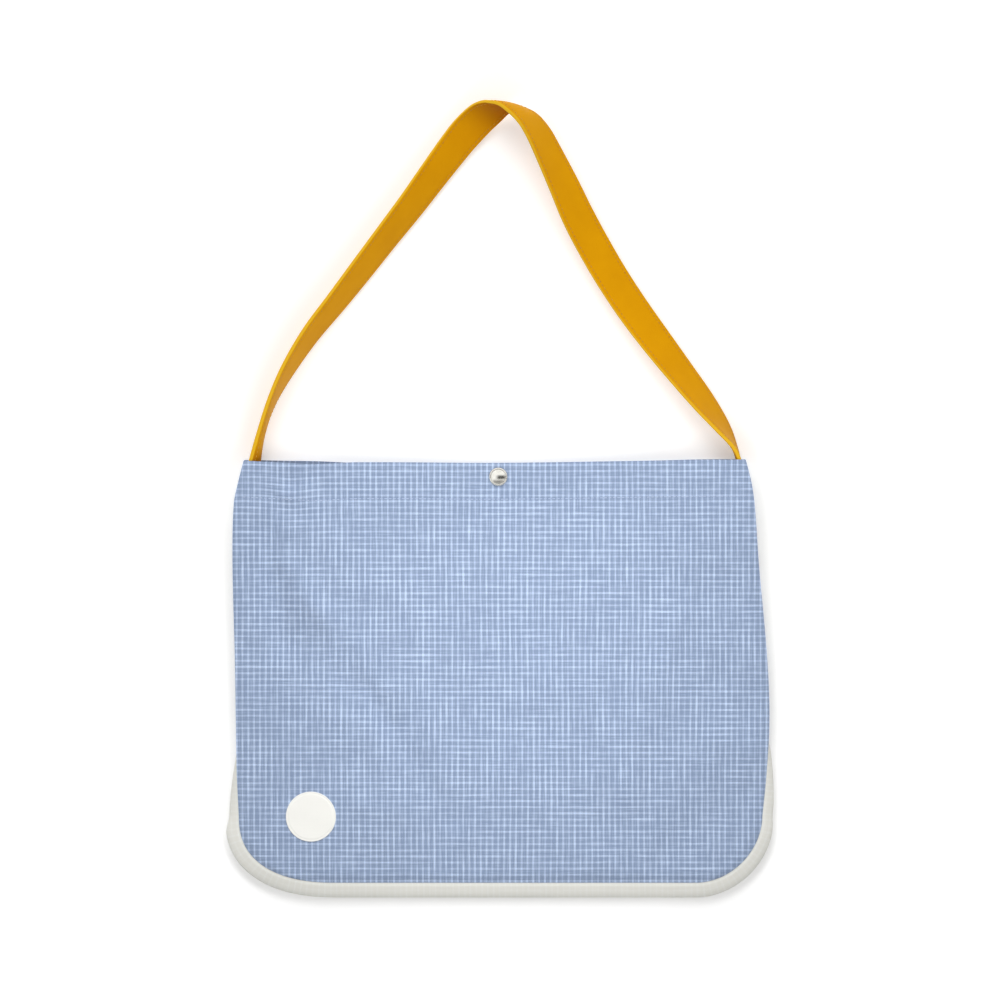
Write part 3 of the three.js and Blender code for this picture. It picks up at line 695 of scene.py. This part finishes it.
def gusset_face(path, sign):
    """One face of the strip: across, it bows out from the rim, or in, as half a sine wave from the front
    panel to the back panel, and stands half the cloth's thickness off that bow, square to it."""
    before = path[np.maximum(np.arange(len(path)) - 1, 0)]
    after = path[np.minimum(np.arange(len(path)) + 1, len(path) - 1)]
    run = after[:, :2] - before[:, :2]
    run = run / np.linalg.norm(run, axis=1, keepdims=True)
    out = np.stack([run[:, 1], -run[:, 0]], 1)
    px, py, bulge = path.T
    within = front_height(px - 2 * CLOTH * out[:, 0], py - 2 * CLOTH * out[:, 1])
    high = (np.minimum(front_height(px, py), within) - CLOTH - SEAM)[:, None]
    low = (back_height(px, py) + CLOTH + SEAM)[:, None]
    v = np.linspace(0, 1, GUSSET_ACROSS + 1)[None, :]
    slope = bulge[:, None] * math.pi * np.cos(math.pi * v)
    length = np.hypot(slope, high - low)
    half = sign * CLOTH / 2
    bow = bulge[:, None] * np.sin(math.pi * v) - CLOTH / 2 + half * (high - low) / length
    z = np.clip(mix(high, low, v) + half * slope / length, low, high)
    return np.stack([px[:, None] + bow * out[:, :1], py[:, None] + bow * out[:, 1:], z], 2)


path = gusset_path()
outer_face, inner_face = gusset_face(path, 1), gusset_face(path, -1)
points = np.concatenate([outer_face.reshape(-1, 3), inner_face.reshape(-1, 3)])
lengthwise = np.cumsum(np.linalg.norm(np.diff(path[:, :2], axis=0, prepend=path[:1, :2]), axis=1))
widthwise = np.cumsum(np.linalg.norm(np.diff(outer_face, axis=1, prepend=outer_face[:, :1]), axis=2), axis=1)
flat = np.stack([np.broadcast_to(lengthwise[:, None], widthwise.shape).ravel(), widthwise.ravel()], 1)
cream_check = check_cloth("cream_check_cotton", CREAM, PALE_CREAM)
faces = wall_faces(len(path), GUSSET_ACROSS + 1)
gusset = piece("gusset_strip", points, faces, np.tile(flat, (2, 1)), cream_check)
round_edges(gusset, GUSSET_EDGE_ROUND)
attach(gusset, "root")
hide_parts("gusset")


# Strap. Two layers of mustard leather glued and sewn back to back, with a row of stitches near both edges.
# Both ends are sewn inside the tops of the gusset, and the strap turns over in a soft fold at its crest.
STRAP_WIDTH = 27
LEATHER = 3.2
STRAP = {
    "x": (-197.4, -194.9, -191.3, -184.2, -174.3, -162, -145.2, -125.4, -106.8, -87.8, -69, -51.3, -34.6, -25,
          -14.8, -5.1, 1.5, 8.5, 15.8, 22.4, 29, 35.8, 47, 58, 70.2, 84.4, 100.4, 118, 136.4, 153.6, 168.4,
          177.9, 182.4, 186.2),
    "y": (1, 13, 27, 48.8, 74.8, 98.8, 124.8, 149.8, 173.8, 198.6, 222.8, 246.8, 269, 280.4, 290.2, 296,
          297.6, 295.8, 291.4, 285.2, 275.5, 262.2, 238.8, 214.8, 191.8, 167.6, 143.4, 119.4, 95.4, 73.4,
          53.4, 37.6, 23, 2),
    "z": (13.7, 13.7, 13.7, 14, 14, 13.9, 13.4, 12.7, 12.1, 11.4, 10.6, 9.4, 8.2, 8.2, 10.8, 15.4, 19.2, 22.2,
          24, 24.4, 23.6, 21.4, 17.6, 13.2, 9.8, 8.4, 8.4, 9.2, 10.6, 12.4, 14.6, 15.6, 15.9, 15.9),
    "roll": (90, 90, 89, 86, 80, 71, 63, 57, 52, 48, 42, 35, 26, 21, 28, 52, 80, 103, 116, 126, 133, 138, 147,
             156, 159, 158, 156, 150, 140, 129, 112, 94, 90, 90),
    "curl": (6.6, 6.6, 6.6, 3, 0.8, 0.5, 0.4, 0.4, 0.4, 0.4, 0.4, 0.4, 0.2, 0, -0.3, -1.2, -2.3, -2.6, -1.8,
             -0.8, 0, 0.4, 0.4, 0.4, 0.4, 0.4, 0.4, 0.4, 0.4, 0.4, 0.5, 1, 1.5, 1.5),
}
STRAP_STEPS = 16             # sections between two rows of the table
STITCH_INSET = 2.9           # from the strap's edge to its stitches
STITCH_LEVEL = 0.87          # in half thicknesses from the middle of the strap
SECTION = {                  # in half widths and half thicknesses, apart from the dip's width
    "face": 0.955, "face_points": 33, "edge": 0.86, "edge_points": 11,
    "dip": 0.13, "dip_width": 0.75, "rubbed": 0.10, "rubbed_from": 0.86, "rubbed_over": 0.1,
    "round": 0.045, "line": 0.012, "line_width": 0.14,
}
MUSTARD = (0.72, 0.33, 0.001, 1)
DEEP_MUSTARD = (0.63, 0.27, 0.001, 1)
# The cut edge's own lighter edge paint, made lighter still by a painted highlight, since the edges mostly
# face up.
EDGE_PAINT_AND_HIGHLIGHT = (0.74, 0.43, 0.02, 1)
# Painted shade: a deep red-brown mixed into the leather's colour on the inner face under the crest's fold,
# and on both faces near the ends where they go into the gusset.
PAINTED_FOLD_SHADE = (0.36, 0.105, 0.001, 1)
CREST_SHADE = {"row": 16.2, "rows": 2.2}           # where shade is painted on the inner face under the fold, in rows of the table
# Painted shade near both ends: the rows where it fades out, and how strong it is.
END_SHADE = {"left": 2.2, "right": 31.3, "rows": 0.6, "share": 0.6}
INNER_FACE = {"from": -0.2, "over": 0.8}
GRAIN = {"mottle": 55.0, "pores": 1100.0, "creases": 420.0, "height": 0.10, "shown": 0.6}
STRAP_THREAD = {"dark": (0.40, 0.165, 0.004, 1), "pale": (0.66, 0.33, 0.02, 1), "roughness": 0.6}


def through(rows, t):
    """Points and slopes at t on the curve through the rows, t counting rows. Between two rows it is the cubic
    whose slope at each row is half the difference of the rows on either side."""
    rows = np.concatenate([2 * rows[:1] - rows[1:2], rows, 2 * rows[-1:] - rows[-2:-1]])
    k = np.minimum(t.astype(int), len(rows) - 4)
    w = (t - k)[:, None]
    a, b, c, d = (rows[k + i] for i in range(4))
    s0, s1 = (c - a) / 2, (d - b) / 2
    c2, c3 = 3 * (c - b) - 2 * s0 - s1, 2 * (b - c) + s0 + s1
    return b + s0 * w + c2 * w ** 2 + c3 * w ** 3, s0 + 2 * c2 * w + 3 * c3 * w ** 2


def strap_section():
    """Closed outline of the strap's section: place across from -1 to 1, height in half thicknesses towards
    the inner face, and how much of the cut edge shows. The faces dip at the stitches, and the edges are
    rounded, with the fine line where the two layers meet."""
    face = np.linspace(-SECTION["face"], SECTION["face"], SECTION["face_points"])
    from_stitch = (np.abs(face) * STRAP_WIDTH / 2 - STRAP_WIDTH / 2 + STITCH_INSET) / SECTION["dip_width"]
    rubbed = smooth((np.abs(face) - SECTION["rubbed_from"]) / SECTION["rubbed_over"])
    dip = SECTION["dip"] * np.exp(-from_stitch ** 2) + SECTION["rubbed"] * rubbed
    edge = np.linspace(-1, 1, SECTION["edge_points"] + 2)[1:-1]
    line = SECTION["line"] * np.exp(-(edge / SECTION["line_width"]) ** 2)
    bulge = 1 - SECTION["round"] * np.abs(edge) ** 3 - line
    at = np.concatenate([face, bulge, face[::-1], -bulge[::-1]])
    height = np.concatenate([dip - 1, edge * SECTION["edge"], (1 - dip)[::-1], -edge * SECTION["edge"]])
    is_edge = np.concatenate([np.zeros(len(face)), np.ones(len(edge))] * 2)
    return at, height, is_edge


def strap_points(at, height):
    """Places on the strap, for each section and each point of the outline. The section stands across the
    curve, turned by its roll, and its middle bows out by its curl."""
    rows = np.stack([STRAP[k] for k in ("x", "y", "z")], 1).astype(float)
    shape = np.stack([STRAP[k] for k in ("roll", "curl")], 1).astype(float)
    t = np.linspace(0, len(rows) - 1, (len(rows) - 1) * STRAP_STEPS + 1)
    centre, forward = through(rows, t)
    turn = through(shape, t)[0]
    forward = forward / np.linalg.norm(forward, axis=1, keepdims=True)
    level = np.stack([-forward[:, 1], forward[:, 0], np.zeros(len(t))], 1)
    level = level / np.linalg.norm(level, axis=1, keepdims=True)
    up = np.cross(forward, level)
    roll = np.radians(turn[:, :1])
    wide = np.cos(roll) * level + np.sin(roll) * up
    inner = np.cross(forward, wide)
    curl = turn[:, 1:]
    chord = STRAP_WIDTH - 8 * curl ** 2 / (3 * STRAP_WIDTH)
    bow = curl * (1 - at ** 2) + height * LEATHER / 2
    places = centre[:, None] + (at * chord / 2)[:, :, None] * wide[:, None] + bow[:, :, None] * inner[:, None]
    return places, inner


section_at, section_height, section_edge = strap_section()
places, _ = strap_points(section_at, section_height)
sections, sides = places.shape[:2]
number = np.arange(sections * sides).reshape(sections, sides)
turned = np.roll(number, -1, 1)
tube = np.stack([number[:-1], number[1:], turned[1:], turned[:-1]], 2).reshape(-1, 4)
ladder = np.arange(sides // 2)
caps = []
for ring, order in ((number[0], (0, 1, 2, 3)), (number[-1], (3, 2, 1, 0))):
    corners = np.stack([ring[ladder[:-1]], ring[ladder[1:]], ring[sides - 2 - ladder[:-1]],
                        ring[sides - 1 - ladder[:-1]]], 1)
    caps.append(corners[:, order])
faces = np.concatenate([tube, *caps])
run = np.cumsum(np.linalg.norm(np.diff(places.mean(1), axis=0, prepend=places.mean(1)[:1]), axis=1))
flat = np.stack([np.broadcast_to(run[:, None], (sections, sides)).ravel(),
                 np.broadcast_to(section_at * STRAP_WIDTH / 2, (sections, sides)).ravel()], 1)

leather, tree, surface = shader("mustard_leather", Roughness=0.5, Specular_IOR_Level=0.05)
hide = add(tree, "TexCoord").outputs["Object"]
edge_mask, fold_shade_mask = (
    add(tree, "Attribute", attribute_name=mask).outputs["Fac"] for mask in ("cut_edge", "painted_shade"))
mottle = add(tree, "TexNoise", {"Vector": hide, "Scale": GRAIN["mottle"], "Detail": 4.0})
face_colour = blend(tree, mottle.outputs["Fac"], DEEP_MUSTARD, MUSTARD)
# Painted shade under the fold and at the ends is mixed in, then the cut edge's colour.
with_edges = blend(tree, edge_mask, blend(tree, fold_shade_mask, face_colour, PAINTED_FOLD_SHADE), EDGE_PAINT_AND_HIGHLIGHT)
tree.links.new(with_edges, surface.inputs["Base Color"])
pores = add(tree, "TexVoronoi", {"Vector": hide, "Scale": GRAIN["pores"]})
creases = add(tree, "TexNoise", {"Vector": hide, "Scale": GRAIN["creases"], "Detail": 5.0})
grain = calc(tree, "ADD", pores.outputs["Distance"], creases.outputs["Fac"])
bump(tree, surface, grain, GRAIN["height"], GRAIN["shown"])

strap = piece("leather_strap", places.reshape(-1, 3), faces, flat, leather)
# Masks for the leather's colour: the cut edge, and painted shade on the inner face under the crest's fold and
# near both ends.
row = np.arange(sections) / STRAP_STEPS
near_crest = np.exp(-(((row - CREST_SHADE["row"]) / CREST_SHADE["rows"]) ** 2))
on_inner_face = smooth((section_height - INNER_FACE["from"]) / INNER_FACE["over"])
near_ends = 1 - smooth((row - END_SHADE["left"]) / END_SHADE["rows"]) + smooth((row - END_SHADE["right"]) / END_SHADE["rows"])
painted_shade = np.maximum(np.outer(near_crest, on_inner_face), END_SHADE["share"] * near_ends[:, None])
for mask, value in (("cut_edge", np.tile(section_edge, sections)), ("painted_shade", painted_shade.ravel())):
    layer = strap.data.attributes.new(mask, "FLOAT", "POINT")
    layer.data.foreach_set("value", value.astype(np.float32))
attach(strap, "root")
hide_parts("strap")

stitch_at = 1 - 2 * STITCH_INSET / STRAP_WIDTH
rows = []
for edge_side in (-1, 1):
    for face_side in (-1, 1):
        line, inwards = strap_points(np.array([edge_side * stitch_at]), np.array([face_side * STITCH_LEVEL]))
        rows.append((line[:, 0], inwards * face_side))
strap_thread = stitches("strap_stitches", rows, sewing_thread("mustard_thread", **STRAP_THREAD))
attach(strap_thread, "root")


# Snap. A pressed nickel cap on the front with its socket behind it, and a stud with its post and back cap on
# the back panel. All four are turned shapes round one axis.
ROUND = 72                   # points in each turned ring
AXIS_RADIUS = 0.01
NICKEL = (0.64, 0.625, 0.57, 1)
BRIGHT_NICKEL = (0.84, 0.835, 0.785, 1)
TARNISH = {"scale": 260.0, "height": 0.02, "shown": 0.4}
PROFILES = {
    "snap_cap": {"level": MOUTH_HEIGHT + GAP, "profile": (
        (0, -3), (1.6, -3), (1.6, 0), (6.8, 0), (7.05, 0.2), (7.1, 0.45), (6.95, 0.8), (6.6, 1.15),
        (6.2, 1.4), (5.95, 1.42), (5.75, 1.25), (5.6, 1.2), (5.4, 1.27), (4.8, 1.66), (3.8, 2.12),
        (2.6, 2.47), (1.3, 2.68), (0, 2.75))},
    "snap_socket": {"level": MOUTH_HEIGHT - CLOTH - GAP, "profile": (
        (2, 0), (6, 0), (6, -1.6), (5.2, -2.4), (3.3, -2.4), (3.3, -0.8), (2, -0.8), (2, 0))},
    "snap_stud": {"level": BACK_SEAT["rise"] + CLOTH + GAP, "profile": (
        (2, 0), (5.4, 0), (5.4, 0.7), (3.2, 0.9), (2.4, 1.4), (2.9, 2.1), (2.6, 2.9), (2, 2.9), (2, 0))},
    "snap_post": {"level": BACK_SEAT["rise"] - GAP, "profile": (
        (0, -0.9), (5.2, -0.9), (5.5, -0.6), (5.5, 0), (1.6, 0), (1.6, 4.4), (0, 4.4))},
}


def lathe(name, profile, level, finish):
    """Closed turned shape: the profile's radius and height carried round the snap's axis. A profile that
    comes back to its start is a ring with a hole. Any other ends on the axis, in a tiny ring that is closed
    across."""
    closed = profile[0] == profile[-1]
    r, h = np.array(profile[:-1] if closed else profile, float).T
    angle = np.linspace(0, 2 * math.pi, ROUND, endpoint=False)
    r = np.maximum(r, AXIS_RADIUS)
    grid = np.stack([SNAP["x"] + r[:, None] * np.cos(angle), SNAP["y"] + r[:, None] * np.sin(angle),
                     np.broadcast_to((level + h)[:, None], (len(r), ROUND))], 2)
    number = np.arange(len(r) * ROUND).reshape(len(r), ROUND)
    onward = np.roll(number, -1, 1)
    if closed:
        number, onward = (np.concatenate([rings, rings[:1]]) for rings in (number, onward))
    faces = np.stack([number[:-1], onward[:-1], onward[1:], number[1:]], 2).reshape(-1, 4)
    if not closed:
        fan = np.arange(0, ROUND - 2, 2)
        corners = np.stack([np.zeros(len(fan), int), fan + 1, fan + 2, (fan + 3) % ROUND], 1)
        faces = np.concatenate([faces, *(ring[corners] for ring in (number[0][::-1], number[-1]))])
    points = grid.reshape(-1, 3)
    return piece(name, points, faces, points[:, :2], finish)


nickel, tree, surface = shader("polished_nickel", Metallic=1.0, Roughness=0.22)
metal = add(tree, "TexCoord").outputs["Object"]
tarnish = add(tree, "TexNoise", {"Vector": metal, "Scale": TARNISH["scale"], "Detail": 3.0}).outputs["Fac"]
tree.links.new(blend(tree, tarnish, NICKEL, BRIGHT_NICKEL), surface.inputs["Base Color"])
bump(tree, surface, tarnish, TARNISH["height"], TARNISH["shown"])
for node, given in PROFILES.items():
    turned_piece = lathe(node.replace("snap", "nickel"), given["profile"], given["level"], nickel)
    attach(turned_piece, "root")
    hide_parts(node)


# Patch. A plain round of white woven cloth, blank, with a firm edge, laid on the front near its bottom
# left corner and sewn round its rim.
PATCH = {"x": -144.8, "y": -241.7, "radius": 19, "thickness": 1, "gap": 0.05, "edge_round": 0.3}
PATCH_SEWN = {"depth": 0.22, "at": 0.93, "width": 0.5}       # the row round its rim
PATCH_FALL = {"by": 0.25, "power": 12}       # how much thinner it gets, and how close to its edge
PATCH_GRID = 96
PATCH_PITCHES = (1.1, 1.1)
PATCH_WHITES = ((0.90, 0.895, 0.85, 1), (0.93, 0.92, 0.875, 1))
WHITE_WEAVE = {"Roughness": 0.85, "Specular_IOR_Level": 0.25, "Sheen_Weight": 0.1}

u, v = np.meshgrid(np.linspace(-1, 1, PATCH_GRID + 1), np.linspace(-1, 1, PATCH_GRID + 1), indexing="ij")
disc_u, disc_v = u * np.sqrt(1 - v * v / 2), v * np.sqrt(1 - u * u / 2)
x, y = PATCH["x"] + PATCH["radius"] * disc_u, PATCH["y"] + PATCH["radius"] * disc_v
ground = front_cloth(x, y)
rim = np.clip(disc_u ** 2 + disc_v ** 2, 0, 1)
from_row = (np.sqrt(rim) - PATCH_SEWN["at"]) * PATCH["radius"] / PATCH_SEWN["width"]
sewn = PATCH_SEWN["depth"] * np.exp(-(from_row ** 2))
top = ground + PATCH["thickness"] * (1 - PATCH_FALL["by"] * rim ** PATCH_FALL["power"]) - sewn
points = np.concatenate([np.stack([x, y, z], 2).reshape(-1, 3) for z in (top, ground + PATCH["gap"])])
uv = np.tile(np.stack([x.ravel(), y.ravel()], 1), (2, 1))
white_weave = check_cloth("white_patch_weave", *PATCH_WHITES, PATCH_PITCHES, (0.08, 0.6), WHITE_WEAVE)
patch = piece("round_patch", points, wall_faces(*x.shape), uv, white_weave)
round_edges(patch, PATCH["edge_round"])
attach(patch, "root")
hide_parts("patch")
